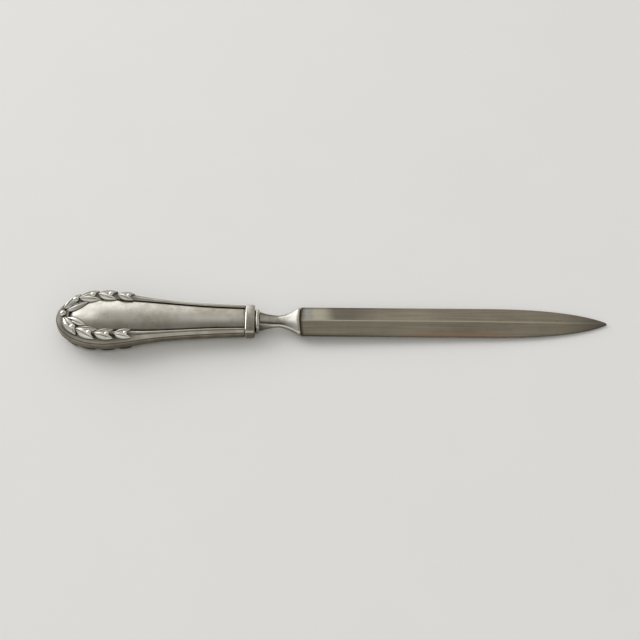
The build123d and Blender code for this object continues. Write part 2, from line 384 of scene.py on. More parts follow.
# Neck
# A cast silver bolster on the tang, drawn in to a slim waist and flared out to the width of the blade.
# Its front is hollowed to take the bowed heel. Shade is painted black on its lip, near the ring and on its
# faces towards their edges near the root, and duller over its root half; its sides carry tarnish, painted
# shade and a painted highlight.
ring_front = 62.6 * mm
waist_x = ring_front + 6.0 * mm
neck_lip = 0.8 * mm
lip_x = heel_x - neck_lip
neck_flare = 1.75
neck_rise = 1.2
# Each size at the root, the waist and the lip, and how its flare swells
neck_widths = (3.4 * mm, 2.1 * mm, 5.0 * mm, neck_flare)
neck_edges = (1.8 * mm, 0.8 * mm, 1.1 * mm, neck_flare)
neck_crowns = (2.15 * mm, 1.2 * mm, 2.05 * mm, neck_rise)
neck_faces = (2.05 * mm, 1.75 * mm, 4.7 * mm, neck_flare)
neck_corner = 0.16 * mm
lip_round = 0.3 * mm
lip_fullness = 4
lip_black_sharpness = 3
neck_stations = 40
lip_stations = 8
# Painted shade near the ring: how far along the sides it reaches, and how black it is
root_shade = 4.5 * mm
root_black = 0.85
# How strong the painted shade on the faces, the tarnish and painted shade on the sides and root, and the
# painted highlight on the sides are, and where they lie: shares of the way along the neck, across its face
# or up its side
face_shade_end = 0.9
face_shade_fade = 0.35
face_shade_from = 0.5
face_shade_width = 0.35
dusk_painted_shade = 0.42
dusk_end = 0.62
dusk_fade = 0.25
neck_side_film_and_shade = 0.75
shoulder_highlight = 0.75
shoulder_height = 0.75
shoulder_width = 0.22
side_dimming_fade = 0.3
outline_points = 480
ring_points = 72
arch_steps = 40
side_steps = 10
# Silver colours; the worn one is also painted as highlight, and the black and the brown also as shade
silver_bright = (0.62, 0.602, 0.55, 1)
silver_dull = (0.4, 0.377, 0.318, 1)
silver_wear_and_highlight = (0.86, 0.84, 0.79, 1)
tarnish_and_shade_black = (0.03, 0.026, 0.022, 1)
tarnish_and_shade_brown = (0.152, 0.115, 0.074, 1)


def arch_radius(half_span, rise):
    """Radius of the arc over a span."""
    return (half_span**2 + rise**2) / (2 * rise)


def oval(half_width, edge, crown, corner, face=None):
    """Round an oval in Y and Z: arched faces, and sides that are upright or swell out past the faces,
    with softened corners."""
    face = face or half_width
    radius = arch_radius(face, crown - edge)
    half_turn = math.asin(face / radius)
    half = []
    for k in range(arch_steps, -arch_steps - 1, -1):
        angle = half_turn * k / arch_steps
        half.append((radius * math.sin(angle), crown - radius * (1 - math.cos(angle))))
    for k in range(1 - side_steps, side_steps):
        swell = (half_width - face) * (1 - (k / side_steps) ** 2)
        half.append((-face - swell, -edge * k / side_steps))
    outline = np.array(half + [(-y, -z) for y, z in half] + half[:1])
    lengths = np.r_[0, np.cumsum(np.hypot(*np.diff(outline, axis=0).T))]
    fine = np.arange(outline_points) / outline_points * lengths[-1]
    ring = np.c_[np.interp(fine, lengths, outline[:, 0]), np.interp(fine, lengths, outline[:, 1])]
    reach = max(1, round(corner / lengths[-1] * outline_points))
    for _ in range(2):
        ring = sum(np.roll(ring, shift, axis=0) for shift in range(-reach, reach + 1)) / (2 * reach + 1)
    return [tuple(point) for point in ring[:: outline_points // ring_points]]


def drawn_in(x, root, waist, heel, flare):
    """Size of the neck at x, drawn in from the root to the waist and flared out to the lip."""
    if x < waist_x:
        return waist + (root - waist) * ((waist_x - x) / (waist_x - ring_front)) ** neck_flare
    return waist + (heel - waist) * min(1, (x - waist_x) / (lip_x - waist_x)) ** flare


def held(value):
    """Value held between 0 and 1."""
    return min(1, max(0, value))


def bell(value, middle, width):
    """Value that is 1 at a middle and falls away smoothly on both sides."""
    return math.exp(-(((value - middle) / width) ** 2))


def dulled(rings, edge, strength):
    """Tarnish and painted shade on the upright sides of rings, as values at their points."""
    return [strength * held((edge - abs(z)) / (side_dimming_fade * edge)) for ring in rings for _, _, z in ring]


neck_rings = []
neck_black = []
neck_film_and_shade = []
neck_highlight = []
neck_length = lip_x - ring_front
neck_places = [ring_front + neck_length * step / neck_stations for step in range(neck_stations + 1)]
neck_places += [lip_x + neck_lip * step / lip_stations for step in range(1, lip_stations + 1)]
for x in neck_places:
    past = held((x - lip_x) / neck_lip)
    inset = lip_round * (1 - math.sqrt(1 - past**lip_fullness))
    half_width, edge, crown, face = (drawn_in(x, *line) - inset
                                     for line in (neck_widths, neck_edges, neck_crowns, neck_faces))
    share = (x - ring_front) / (heel_x - ring_front)
    rooted = max(0, 1 - (x - ring_front) / root_shade)
    face_shaded = held((face_shade_end - share) / face_shade_fade)
    dusky = dusk_painted_shade * held((dusk_end - share) / dusk_fade)
    ring = oval(half_width, edge, crown, neck_corner, face)
    neck_rings.append([(ring_front + share * (heel_line(y) - ring_front), y, z) for y, z in ring])
    sides = dulled(neck_rings[-1:], edge, 1.0)
    for (y, z), side in zip(ring, sides):
        face_shade = face_shaded * held((abs(y) / face - face_shade_from) / face_shade_width) if abs(z) > edge else 0.0
        shoulder = bell(abs(z), shoulder_height * edge, shoulder_width * edge) if abs(y) > face else 0.0
        # Painted shade on the lip, by the ring and over the faces; tarnish and painted shade on the sides;
        # a painted highlight along them
        neck_black.append(max(past**lip_black_sharpness, root_black * rooted * side, face_shade))
        neck_film_and_shade.append(max(neck_side_film_and_shade * side, dusky))
        neck_highlight.append(shoulder_highlight * (1 - rooted) * shoulder)
neck = piece("cast_neck", *skin(neck_rings), {"recess": neck_black, "film": neck_film_and_shade, "wear": neck_highlight})

# Sizes of the silver's clouds, scratches and pits, in lumps per metre, and how they show
recess_reach = 1.1 * mm
recess_samples = 12
recess_range = (0.82, 0.42)
patches_per_cloud = 4.5
patch_share = 0.4
cloud_share = 0.6
film_range = (0.4, 0.62)
darkness_range = (0.25, 0.75, 0.72, 1.0)
scratch_scale = 900
scratch_stretch = (0.06, 1, 1)
scratch_turn = 0.3
rubbing_scale = 1100
rubbing_stretch = (0.05, 1, 1)
rubbing_turn = -0.5
pit_scale = 650
pit_range = (0.66, 0.76, 0.0, 0.6)
film_rough = 0.22
recess_rough = 0.25


def silver(name, clean, dull, smoothness, rubbed, cloud_size, darkening):
    """Silver with cloudy tarnish, fine rubbing scratches and black left in the recesses, with the tarnish,
    painted shade, worn spots and painted highlight that its pieces carry.
    """
    finish, tree, metal = new_finish(name)
    place = add(tree, "ShaderNodeTexCoord").outputs["Object"]
    hollow = add(tree, "ShaderNodeAmbientOcclusion", {"Distance": recess_reach}, samples=recess_samples)
    shaded = between(tree, hollow.outputs["AO"], *recess_range)
    # Black from the recesses, and from the painted shade that the piece carries
    recess = reckoned(tree, "MAXIMUM", carried(tree, "recess"), shaded)
    clouds = grain(tree, place, 1 / cloud_size)
    patches = grain(tree, place, patches_per_cloud / cloud_size)
    scratches = grain(tree, place, scratch_scale, scratch_stretch, scratch_turn)
    rubbing = grain(tree, place, rubbing_scale, rubbing_stretch, rubbing_turn)
    pits = grain(tree, place, pit_scale, detail=speck_detail)
    film = reckoned(tree, "MULTIPLY_ADD", patches, patch_share,
                    reckoned(tree, "MULTIPLY", clouds, cloud_share))
    colour = mixed(tree, between(tree, film, *film_range), clean, dull)
    # Tarnish and painted shade that the piece carries, uneven in patches
    darkness = reckoned(tree, "MULTIPLY", carried(tree, "film"), between(tree, patches, *darkness_range))
    colour = mixed(tree, darkness, colour, tarnish_and_shade_brown)
    colour = mixed(tree, between(tree, pits, *pit_range), colour, tarnish_and_shade_brown)
    # Worn spots and painted highlight that the piece carries
    colour = mixed(tree, carried(tree, "wear"), colour, silver_wear_and_highlight)
    colour = mixed(tree, reckoned(tree, "MULTIPLY", recess, darkening), colour, tarnish_and_shade_black)
    tree.links.new(colour, metal.inputs["Base Color"])
    metal.inputs["Metallic"].default_value = 1
    rough = reckoned(tree, "MULTIPLY_ADD", film, film_rough, smoothness)
    rough = reckoned(tree, "MULTIPLY_ADD", recess, recess_rough, rough)
    tree.links.new(rough, metal.inputs["Roughness"])
    marks = reckoned(tree, "ADD", scratches, rubbing)
    bump = add(tree, "ShaderNodeBump", {"Strength": rubbed, "Distance": scratch_depth, "Height": marks})
    tree.links.new(bump.outputs[0], metal.inputs["Normal"])
    return finish


polished_silver = silver("polished_silver", silver_bright, silver_dull, smoothness=0.06, rubbed=0.12,
                         cloud_size=12 * mm, darkening=0.9)
neck.data.materials.append(polished_silver)
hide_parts("neck")

# Neck ring
# A rounded silver washer threaded on the tang between the neck and the collar. It is of the same polished
# silver as the neck.
collar_front = 61.0 * mm
ring_half_width = 3.65 * mm
ring_edge = 1.85 * mm
ring_crown = 2.3 * mm
ring_corner = 0.5 * mm
ring_round = 0.75 * mm
# Tarnish and painted shade on the washer's upright sides
ring_film_and_shade = 0.3
rim_turns = 6


def rimmed(back, front, section, back_round, front_round):
    """Rings of a band from back to front, with quarter-round rims at both ends."""
    half_width, edge, crown, corner = section
    rings = []
    for x, rounding, way in ((back, back_round, 1), (front, front_round, -1)):
        rim = []
        for turn in range(rim_turns + 1):
            angle = math.pi / 2 * turn / rim_turns
            inset = rounding * (1 - math.sin(angle))
            ring = oval(half_width - inset, edge - inset, crown - inset, corner)
            rim.append([(x + way * rounding * (1 - math.cos(angle)), y, z) for y, z in ring])
        rings += rim[::way]
    return rings


ring_section = (ring_half_width, ring_edge, ring_crown, ring_corner)
washer_rings = rimmed(collar_front, ring_front, ring_section, ring_round, ring_round)
neck_ring = piece("neck_washer", *skin(washer_rings),
                  {"film": dulled(washer_rings, ring_edge, ring_film_and_shade)})
neck_ring.data.materials.append(polished_silver)
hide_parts("neck_ring")

# Collar and mouth plate
# An oval silver band soldered to the mouth of the handle, with softened rims. The flat plate inside it
# closes the handle round the tang and is out of sight.
handle_front = 58.0 * mm
collar_half_width = 5.45 * mm
collar_edge = 1.6 * mm
collar_crown = 2.75 * mm
collar_corner = 0.28 * mm
collar_back_round = 0.5 * mm
collar_front_round = 0.4 * mm
# Tarnish and painted shade on the collar's upright sides
collar_film_and_shade = 0.85
# A highlight is painted on the rear rim, counted in rings, and on the corners just past the sides
lit_rim = 3
lit_rim_width = 1.6
corner_highlight = 0.7
lit_corner = collar_edge + 0.05 * mm
lit_corner_width = 0.12 * mm
collar_clean = (0.41, 0.392, 0.34, 1)
collar_dull = (0.31, 0.288, 0.235, 1)

collar_section = (collar_half_width, collar_edge, collar_crown, collar_corner)
collar_rings = rimmed(handle_front, collar_front, collar_section, collar_back_round, collar_front_round)
collar_highlight = []
# Painted highlight on the rear rim and the corners
for k, ring in enumerate(collar_rings):
    rim = bell(k, lit_rim, lit_rim_width)
    for _, _, z in ring:
        collar_highlight.append(max(rim, corner_highlight * bell(abs(z), lit_corner, lit_corner_width)))
collar = piece("collar_band", *skin(collar_rings),
               {"film": dulled(collar_rings, collar_edge, collar_film_and_shade), "wear": collar_highlight})
collar_silver = silver("collar_silver", collar_clean, collar_dull, smoothness=0.14, rubbed=0.2,
                       cloud_size=5 * mm, darkening=0.85)
collar.data.materials.append(collar_silver)
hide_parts("collar")
mouth_plate = frame["nodes"]["mouth_plate"]
mouth_plate.data.materials.clear()
mouth_plate.data.materials.append(collar_silver)

# Handle shells
# Two halves struck from sheet silver and soldered along the side: a smooth domed panel, a groove round
# it, and a border that is a wide band round the butt and narrows to a plain thread at the mouth.
station_x = np.array((15.0, 21.0, 28.5, 38.0, 48.0, 58.0)) * mm
half_widths = np.array((10.4, 9.7, 8.15, 6.8, 6.0, 5.45)) * mm
borders = np.array((4.2, 3.8, 2.5, 1.85, 1.8, 1.6)) * mm
crowns = np.array((4.0, 3.85, 3.5, 3.15, 2.85, 2.65)) * mm
grooves = np.array((2.6, 2.5, 2.05, 1.75, 1.65, 1.55)) * mm
edges = np.array((1.3, 1.25, 1.1, 0.95, 0.95, 1.0)) * mm
border_rise = 0.4 * mm
band_roundness = 0.95
thread_roundness = 0.55
groove_width = 0.42 * mm
groove_depth = 0.2 * mm
groove_foot = 0.3
crease_depth = 0.1 * mm
band_set_back = 0.22 * mm
side_fullness = 4
sheet = 0.7 * mm
butt_length = 15.0 * mm
butt_end_border = 4.3 * mm
panel_points = 30
panel_spacing = 1.3
border_points = 21
seam_steps = 9
seam_spacing = 1.5
flank_steps = 64
butt_steps = 96
# How black the panel's rim, the border under the leaves, the thread's line and the creases are, and how
# dark the shade painted on the lower shell's side is. The rim and the line are counted in points.
rim_black_step = 0.3
rim_black_points = 3
ground_end = 25.5 * mm
ground_fade = 3 * mm
ground_black = 0.97
ground_fullness = 0.7
thread_black = 0.9
thread_line = 11
thread_line_width = 2
border_inner_black = 0.8
border_outer_black = 0.6
crease_black = (1.0, 0.8)
under_black = 0.8
# How much dull tarnish the border and the creases have, and the tarnish and painted shade of the sides,
# darker towards the seam
border_film = 0.2
crease_film = (0.6, 1.0)
side_film_and_shade = 0.6
# Painted shade, and the highlight part worn and part painted, on the panel, at shares of its half width
# from its near edge to its far edge
far_dark_reflection = 0.42
near_painted_shade = 0.5
panel_shade_shares = (-0.95, -0.5, -0.1, 0.55)
panel_wear_and_highlight = 0.6
panel_highlight_share = -0.35
panel_highlight_width = 0.35
dulled_from = 30.0 * mm
dulled_full = 44.0 * mm
worn_until = 52.0 * mm
least_reach = 1 * mm
satin_clean = (0.57, 0.549, 0.487, 1)
satin_dull = (0.43, 0.404, 0.336, 1)


def along_handle(values, x):
    """Size at x, on a smooth line through the stations that starts level at the butt."""
    slopes = np.gradient(values, station_x)
    slopes[0] = 0
    k = min(np.searchsorted(station_x, x, side="right") - 1, len(station_x) - 2)
    span = station_x[k + 1] - station_x[k]
    t = (x - station_x[k]) / span
    swell = (1 + 2 * t) * (1 - t) ** 2 * values[k] + t * t * (3 - 2 * t) * values[k + 1]
    return swell + span * (t * (1 - t) ** 2 * slopes[k] - t * t * (1 - t) * slopes[k + 1])


def half_profile(half_width, border, crown, groove, edge, ground):
    """From the middle of the panel over the border and down to the seam, with the black, the dull tarnish
    and the painted shade of the side left at each point. Ground is how black the border is under the
    leaves."""
    inner = half_width - border
    outer = half_width - band_set_back
    radius = arch_radius(inner, crown - groove)
    outline = []
    black = []
    for k in range(panel_points):
        y = (inner - groove_width) * (1 - (1 - k / (panel_points - 1)) ** panel_spacing)
        outline.append((y, crown - radius + math.sqrt(radius**2 - y**2)))
        black.append(max(0.0, rim_black_step * (k + 1 + rim_black_points - panel_points)))
    groove_floor = groove - groove_depth
    outline += [(inner - groove_foot * groove_width, groove_floor), (inner, groove_floor)]
    black += [1.0, 1.0]
    film = [0.0] * len(outline)
    height = border_rise + (groove - edge) / 2
    roundness = np.interp(border, (borders[-1], borders[0]), (thread_roundness, band_roundness))
    for k in range(1, border_points + 1):
        share = k / border_points
        bulge = height * (1 - (2 * share - 1) ** 2) ** roundness
        outline.append((inner + (outer - inner) * share, groove + (edge - groove) * share + bulge))
    border_steps = border_points - 1
    film += [border_film * k / border_steps for k in range(border_points)]
    thread = thread_black * (1 - ground / ground_black)
    black.append(border_inner_black)
    for k in range(1, border_steps):
        line = thread * max(0, 1 - abs(k - thread_line) / thread_line_width)
        black.append(max(ground * math.sin(math.pi * k / border_steps) ** ground_fullness, line))
    black.append(border_outer_black)
    outline += [(outer, edge - crease_depth), (outer + crease_depth, edge - crease_depth)]
    black += crease_black
    film += crease_film
    side_y, side_z = outline[-1]
    for k in range(1, seam_steps + 1):
        share = 1 - (k / seam_steps) ** seam_spacing
        swell = (half_width - side_y) * math.sqrt(1 - share**side_fullness)
        outline.append((side_y + swell, side_z * share))
        black.append(0.0)
        film.append(side_film_and_shade + (1 - side_film_and_shade) * k / seam_steps)
    return outline, black, film


def panel_marks(spoke):
    """Painted shade and highlight on the panel along one spoke: painted shade along the near edge and,
    towards the mouth, a painted dark reflection on the far side and a highlight, part worn and part
    painted, on the near side."""
    x = spoke[0][0]
    dull = far_dark_reflection * np.interp(x, (dulled_from, dulled_full), (0, 1))
    rubbed = panel_wear_and_highlight * np.interp(x, (dulled_from, dulled_full, worn_until, handle_front), (0, 1, 1, 0))
    reach = max(abs(spoke[panel_points - 1][1]), least_reach)
    shares = [y / reach for _, y, _ in spoke[:panel_points]]
    film = [float(np.interp(share, panel_shade_shares, (near_painted_shade, 0, 0, dull))) for share in shares]
    wear = [float(rubbed * bell(share, panel_highlight_share, panel_highlight_width)) for share in shares]
    return film, wear


def shell_surface():
    """Upper half in spokes from mouth to mouth round the butt: points, faces, black, tarnish and painted
    shade, worn spots and painted highlight.
    """
    spokes = []
    blacks = []
    dimmings = []
    for x in np.linspace(handle_front, butt_length, flank_steps + 1):
        sizes = [along_handle(values, x) for values in (half_widths, borders, crowns, grooves, edges)]
        ground = float(np.interp(x, (ground_end - ground_fade, ground_end), (ground_black, 0)))
        outline, black, film = half_profile(*sizes, ground)
        spokes.append([(x, -y, z) for y, z in outline])
        blacks += black
        dimmings += film
    inner = half_widths[0] - borders[0]
    lengths = np.interp([y for y, _ in outline], (0, inner, half_widths[0]),
                        (0, butt_length - butt_end_border, butt_length))
    for step in range(1, butt_steps):
        turn = math.pi * step / butt_steps
        spokes.append([(butt_length - length * math.sin(turn), -y * math.cos(turn), z)
                       for length, (y, z) in zip(lengths, outline)])
        blacks += black
        dimmings += film
    spokes += [[(x, -y, z) for x, y, z in spoke] for spoke in spokes[flank_steps::-1]]
    count = len(outline)
    for first in range(flank_steps * count, -1, -count):
        blacks += blacks[first:first + count]
        dimmings += dimmings[first:first + count]
    wears_and_highlights = [0.0] * len(dimmings)
    for number, spoke in enumerate(spokes):
        panel = slice(number * count, number * count + panel_points)
        dimmings[panel], wears_and_highlights[panel] = panel_marks(spoke)
    faces = []
    for first in range(0, (len(spokes) - 1) * count, count):
        for k in range(count - 1):
            faces.append((first + k, first + count + k, first + count + k + 1, first + k + 1))
    return [point for spoke in spokes for point in spoke], faces, blacks, dimmings, wears_and_highlights


shell_points, shell_faces, shell_black, shell_film_and_shade, shell_wear_and_highlight = shell_surface()
# The lower shell's side is painted darker towards its lower edge as shade, over the black of its recesses
lower_side = [(1 - film) / (1 - side_film_and_shade) if film > side_film_and_shade else 0.0 for film in shell_film_and_shade]
lower_black = [max(recess, under_black * side) for recess, side in zip(shell_black, lower_side)]
satin_silver = silver("satin_silver", satin_clean, satin_dull, smoothness=0.12, rubbed=0.25,
                      cloud_size=14 * mm, darkening=0.97)
for name, node, up, black in (("upper_shell", "upper_handle_shell", 1, shell_black),
                              ("lower_shell", "lower_handle_shell", -1, lower_black)):
    points = [(x, y, up * z) for x, y, z in shell_points]
    shell = piece(name, points, shell_faces, {"recess": black, "film": shell_film_and_shade, "wear": shell_wear_and_highlight})
    wall = shell.modifiers.new("sheet", "SOLIDIFY")
    wall.thickness = sheet
    wall.offset = -1
    shell.data.materials.append(satin_silver)
    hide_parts(node)

# Leaf border
# Laurel leaves in pairs with a berry between the tips of each pair, struck in the same sheet as the shells
# and chased. They run from a berry at the middle of the butt up both sides, and get smaller towards the
# thread.
leaf_line = 0.62
leaf_line_butt = 2.5 * mm
butt_line_steps = 40
flank_line_steps = 60
leaf_length = 7.6 * mm
leaf_half_width = 1.6 * mm
leaf_height = 1.05 * mm
leaf_root = 0.9 * mm
leaf_rows = 22
leaf_columns = 16
# Shape of a leaf along its length: how its breadth and its height swell and what is least at the ends
breadth_belly = 0.85
breadth_fullness = 0.8
breadth_least = 0.03
height_start = 0.12
height_span = 0.86
height_fullness = 0.7
height_least = 0.02
# Shape of a leaf across: its plump halves and the vein, as shares of its half width
leaf_plumpness = 2.6
vein_depth = 0.3 * mm
vein_width = 0.14
vein_run_out = 3
vein_black = 0.85
vein_black_width = 0.11
rim_black_sharpness = 5
leaf_pairs = 4
leaf_pitch = 6.0 * mm
leaf_start = 1.6 * mm
leaf_spread = math.radians(16)
last_leaf_size = 0.7
outer_leaf_upright = 0.3
inner_leaf_upright = 1.5
berry_radius = 1.05 * mm
berry_lift = 0.1 * mm
berry_ahead = 4.9 * mm
berry_upright = 0.3
berry_turns = 20
berry_rises = 10
berry_black = 0.6
berry_black_fall = 1.4
centre_berry_size = 1.0
chased_clean = (0.84, 0.82, 0.76, 1)
chased_dull = (0.68, 0.65, 0.575, 1)


def marked_mesh(name, points, faces, black):
    """Mesh that carries the black of its recesses at its points."""
    mesh = bpy.data.meshes.new(name)
    mesh.from_pydata(points, [], faces)
    mesh.attributes.new("recess", "FLOAT", "POINT").data.foreach_set("value", black)
    return mesh


def leaf_mesh():
    """One leaf about its middle, along X: plump halves, a sunk vein and a skirt that goes into the
    sheet."""
    rows = []
    black = []
    for i in range(leaf_rows + 1):
        u = i / leaf_rows
        x = (u - 0.5) * leaf_length
        swelling = math.sin(math.pi * u**breadth_belly)
        breadth = leaf_half_width * max(breadth_least, swelling) ** breadth_fullness
        rising = math.sin(math.pi * (height_start + height_span * u))
        height = leaf_height * max(height_least, rising) ** height_fullness
        row = [(x, -breadth, -leaf_root)]
        black.append(1.0)
        for j in range(leaf_columns + 1):
            v = 2 * j / leaf_columns - 1
            vein = vein_depth * bell(v, 0, vein_width) * min(1, vein_run_out * (1 - u))
            row.append((x, breadth * v, height * (1 - abs(v) ** leaf_plumpness) - vein))
            black.append(max(abs(v) ** rim_black_sharpness, vein_black * bell(v, 0, vein_black_width)))
        row.append((x, breadth, -leaf_root))
        black.append(1.0)
        rows.append(row)
    return marked_mesh("laurel_leaf", *skin(rows), black)


def berry_mesh():
    """One berry about its middle: a ball, black where it meets the sheet."""
    points = [(0, 0, berry_lift + berry_radius), (0, 0, berry_lift - berry_radius)]
    for i in range(1, berry_rises):
        fall = math.pi * i / berry_rises
        flat = berry_radius * math.sin(fall)
        rise = berry_lift + berry_radius * math.cos(fall)
        for j in range(berry_turns):
            angle = 2 * math.pi * j / berry_turns
            points.append((flat * math.cos(angle), flat * math.sin(angle), rise))
    lowest = 2 + (berry_rises - 2) * berry_turns
    faces = []
    for j in range(berry_turns):
        after = (j + 1) % berry_turns
        faces.append((0, 2 + j, 2 + after))
        for first in range(2, lowest, berry_turns):
            second = first + berry_turns
            faces.append((first + j, second + j, second + after, first + after))
        faces.append((1, lowest + after, lowest + j))
    black = [held(berry_black - berry_black_fall * z / berry_radius) for _, _, z in points]
    return marked_mesh("berry", points, faces, black)


chased_silver = silver("chased_silver", chased_clean, chased_dull, smoothness=0.08, rubbed=0.08,
                       cloud_size=6 * mm, darkening=0.97)


def border_line():
    """Curve along the line of the leaves, from the butt's centre up the far side to the mouth."""
    line_length = butt_length - leaf_line_butt
    line_half_width = half_widths[0] - leaf_line * borders[0]
    crest = grooves[0] + border_rise
    places = []
    for step in range(butt_line_steps):
        turn = math.pi / 2 * step / butt_line_steps
        x = butt_length - line_length * math.cos(turn)
        places.append((x, line_half_width * math.sin(turn), crest))
    for x in np.linspace(butt_length, handle_front, flank_line_steps):
        y = along_handle(half_widths, x) - leaf_line * along_handle(borders, x)
        places.append((x, y, along_handle(grooves, x) + border_rise))
    line = bpy.data.curves.new("border_line", "CURVE")
    line.dimensions = "3D"
    spline = line.splines.new("POLY")
    spline.points.add(len(places) - 1)
    spline.points.foreach_set("co", [value for place in places for value in (*place, 1.0)])
    return line


def scene_object(name, data):
    """Object of some data, in the scene."""
    made = bpy.data.objects.new(name, data)
    bpy.context.scene.collection.objects.link(made)
    return made


leaf_shape = scene_object("leaf_shape", leaf_mesh())
berry_shape = scene_object("berry_shape", berry_mesh())
bed_mesh = bpy.data.meshes.new("border_bed")
bed_mesh.from_pydata(shell_points, [], shell_faces)
border_bed = scene_object("border_bed", bed_mesh)
spray = scene_object("leaf_spray", border_line())

spray_tree = bpy.data.node_groups.new("laurel_spray", "GeometryNodeTree")
spray_sizes = {}
for label, kind in (("Border line", "Geometry"), ("Bed", "Object"), ("Leaf", "Object"),
                    ("Berry", "Object"), ("Pairs", "Int"), ("First leaf", "Float"), ("Pitch", "Float"),
                    ("Leaf length", "Float"), ("Spread", "Float"), ("Last leaf size", "Float"),
                    ("Berry ahead", "Float"), ("Centre berry size", "Float"), ("Finish", "Material")):
    socket = spray_tree.interface.new_socket(label, in_out="INPUT", socket_type="NodeSocket" + kind)
    spray_sizes[label] = socket.identifier
spray_tree.interface.new_socket("Spray", in_out="OUTPUT", socket_type="NodeSocketGeometry")
given = spray_tree.nodes.new("NodeGroupInput").outputs


def vector_sum(operation, first, second):
    """Result of one sum on vectors, where a number as second scales the first."""
    inputs = {0: first, "Scale": second} if operation == "SCALE" else {0: first, 1: second}
    return add(spray_tree, "ShaderNodeVectorMath", inputs, operation=operation).outputs[0]


def on_line(length):
    """Place and heading on the border line at a length from its start."""
    found = add(spray_tree, "GeometryNodeSampleCurve", {"Curves": given["Border line"], "Length": length},
                mode="LENGTH")
    return found.outputs["Position"], found.outputs["Tangent"]


bed = add(spray_tree, "GeometryNodeObjectInfo", {"Object": given["Bed"]}).outputs["Geometry"]
bed_place = add(spray_tree, "GeometryNodeInputPosition").outputs[0]
bed_normal = add(spray_tree, "GeometryNodeInputNormal").outputs[0]


def on_bed(value, place):
    """Place or normal of the bed nearest to a place."""
    return add(spray_tree, "GeometryNodeSampleNearestSurface",
               {"Mesh": bed, "Value": value, "Sample Position": place},
               data_type="FLOAT_VECTOR").outputs["Value"]


def set_on_bed(shape, count, place, heading, size, upright):
    """Copies of a shape at places on the bed, standing on it, drawn upright and turned to a heading."""
    spots = add(spray_tree, "GeometryNodePoints",
                {"Count": count, "Position": on_bed(bed_place, place)}).outputs[0]
    standing = vector_sum("ADD", on_bed(bed_normal, place), (0, 0, upright))
    turned = add(spray_tree, "FunctionNodeAxesToRotation",
                 {"Primary Axis": standing, "Secondary Axis": heading},
                 primary_axis="Z", secondary_axis="X").outputs[0]
    mesh = add(spray_tree, "GeometryNodeObjectInfo", {"Object": given[shape]}).outputs["Geometry"]
    return add(spray_tree, "GeometryNodeInstanceOnPoints",
               {"Points": spots, "Instance": mesh, "Rotation": turned, "Scale": size}).outputs[0]


number = add(spray_tree, "GeometryNodeInputIndex").outputs[0]
last = reckoned(spray_tree, "SUBTRACT", given["Pairs"], 1)
shrink = reckoned(spray_tree, "SUBTRACT", 1, given["Last leaf size"])
size = reckoned(spray_tree, "SUBTRACT", 1,
                reckoned(spray_tree, "MULTIPLY", shrink, reckoned(spray_tree, "DIVIDE", number, last)))
run = reckoned(spray_tree, "MULTIPLY_ADD", number, given["Pitch"], given["First leaf"])
sized_length = reckoned(spray_tree, "MULTIPLY", given["Leaf length"], size)
half_leaf = reckoned(spray_tree, "MULTIPLY", sized_length, 0.5)
leaf_foot = on_line(run)[0]
leaf_heading = on_line(reckoned(spray_tree, "ADD", run, half_leaf))[1]
one_side = add(spray_tree, "GeometryNodeJoinGeometry")
for side, upright in ((1, outer_leaf_upright), (-1, inner_leaf_upright)):
    spread = reckoned(spray_tree, "MULTIPLY", given["Spread"], side)
    heading = add(spray_tree, "ShaderNodeVectorRotate",
                  {"Vector": leaf_heading, "Axis": (0, 0, 1), "Angle": spread}).outputs[0]
    middle = vector_sum("ADD", leaf_foot, vector_sum("SCALE", heading, half_leaf))
    row = set_on_bed("Leaf", given["Pairs"], middle, heading, size, upright)
    spray_tree.links.new(row, one_side.inputs[0])
berry_run = reckoned(spray_tree, "MULTIPLY_ADD", given["Berry ahead"], size, run)
berry_place, berry_heading = on_line(berry_run)
berries = set_on_bed("Berry", given["Pairs"], berry_place, berry_heading, size, berry_upright)
spray_tree.links.new(berries, one_side.inputs[0])
realized = add(spray_tree, "GeometryNodeRealizeInstances", {"Geometry": one_side.outputs[0]}).outputs[0]
turned_over = add(spray_tree, "GeometryNodeTransform", {"Geometry": realized, "Scale": (1, -1, 1)})
mirrored = add(spray_tree, "GeometryNodeFlipFaces", {"Mesh": turned_over.outputs[0]}).outputs[0]
butt_place, butt_heading = on_line(0.0)
butt_berry = set_on_bed("Berry", 1, butt_place, butt_heading, given["Centre berry size"], berry_upright)
joined = add(spray_tree, "GeometryNodeJoinGeometry")
for part in (realized, mirrored, butt_berry):
    spray_tree.links.new(part, joined.inputs[0])
whole = add(spray_tree, "GeometryNodeRealizeInstances", {"Geometry": joined.outputs[0]}).outputs[0]
finished = add(spray_tree, "GeometryNodeSetMaterial", {"Geometry": whole, "Material": given["Finish"]})
add(spray_tree, "NodeGroupOutput", {"Spray": finished.outputs[0]})

growing = spray.modifiers.new("laurel_spray", "NODES")
growing.node_group = spray_tree
for label, value in {"Bed": border_bed, "Leaf": leaf_shape, "Berry": berry_shape, "Pairs": leaf_pairs,
                     "First leaf": leaf_start, "Pitch": leaf_pitch, "Leaf length": leaf_length,
                     "Spread": leaf_spread, "Last leaf size": last_leaf_size, "Berry ahead": berry_ahead,
                     "Centre berry size": centre_berry_size, "Finish": chased_silver}.items():
    growing[spray_sizes[label]] = value
grown = spray.evaluated_get(bpy.context.evaluated_depsgraph_get())
spray_mesh = bpy.data.meshes.new_from_object(grown)
spray_points = [tuple(vertex.co) for vertex in spray_mesh.vertices]
spray_faces = [tuple(face.vertices) for face in spray_mesh.polygons]
spray_black = [value.value for value in spray_mesh.attributes["recess"].data]
for helper in (spray, leaf_shape, berry_shape, border_bed):
    bpy.data.objects.remove(helper)
for name, up in (("upper_leaf_border", 1), ("lower_leaf_border", -1)):
    points = [(x, y, up * z) for x, y, z in spray_points]
    leaves = piece(name, points, spray_faces, {"recess": spray_black})
    leaves.data.materials.append(chased_silver)

